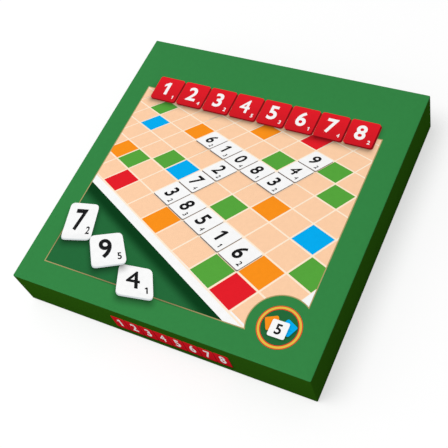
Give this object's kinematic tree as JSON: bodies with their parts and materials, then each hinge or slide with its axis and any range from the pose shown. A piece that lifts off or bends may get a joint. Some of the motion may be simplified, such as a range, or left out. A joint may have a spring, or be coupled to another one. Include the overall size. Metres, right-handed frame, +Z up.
{
  "type": "word board game",
  "caption": "Square cardboard game box with a lift-off lid, holding a formed insert, a folding board, tile racks, stacked letter tiles and a rules sheet.",
  "frame": {"origin": "middle of the box's underside, on the surface it stands on", "axes": "+Z up through the lid, +Y towards the back of the box, +X to the right seen from the front"},
  "size_m": [0.27, 0.27, 0.0432],
  "materials": {
    "greyboard": "matte",
    "lid_print": "satin laminated",
    "pale_paper": "matte",
    "insert_plastic": "satin",
    "rack_plastic": "satin",
    "tile_plastic": "satin",
    "board_print": "satin laminated",
    "cloth_tape": "matte",
    "rules_paper": "matte"
  },
  "bodies": {
    "tray": {"tray_board": "greyboard", "tray_wrap": "pale_paper", "tray_base_sheet": "pale_paper"},
    "insert": {"insert": "insert_plastic", "rack_1": "rack_plastic", "rack_2": "rack_plastic", "rack_3": "rack_plastic", "rack_4": "rack_plastic", "tile_stack_01": "tile_plastic", "tile_stack_02": "tile_plastic", "tile_stack_03": "tile_plastic", "tile_stack_04": "tile_plastic", "tile_stack_05": "tile_plastic", "tile_stack_06": "tile_plastic", "tile_stack_07": "tile_plastic", "tile_stack_08": "tile_plastic", "tile_stack_09": "tile_plastic", "tile_stack_10": "tile_plastic", "tile_stack_11": "tile_plastic", "tile_stack_12": "tile_plastic", "tile_stack_13": "tile_plastic", "tile_stack_14": "tile_plastic", "tile_stack_15": "tile_plastic"},
    "board": {"board_panel_1": "board_print", "board_panel_2": "board_print", "board_panel_3": "board_print", "board_panel_4": "board_print", "board_hinge_1": "cloth_tape", "board_hinge_2": "cloth_tape", "board_hinge_3": "cloth_tape", "rules_sheet": "rules_paper"},
    "lid": {"lid_board": "greyboard", "lid_wrap": "lid_print"}
  },
  "joints": [
    {"name": "insert_lift", "type": "slide", "parent": "tray", "child": "insert", "axis": [0, 0, 1], "range_m": [0, 0.05]},
    {"name": "board_lift", "type": "slide", "parent": "insert", "child": "board", "axis": [0, 0, 1], "range_m": [0, 0.03]},
    {"name": "lid_lift", "type": "slide", "parent": "board", "child": "lid", "axis": [0, 0, 1], "range_m": [0, 0.06]}
  ]
}
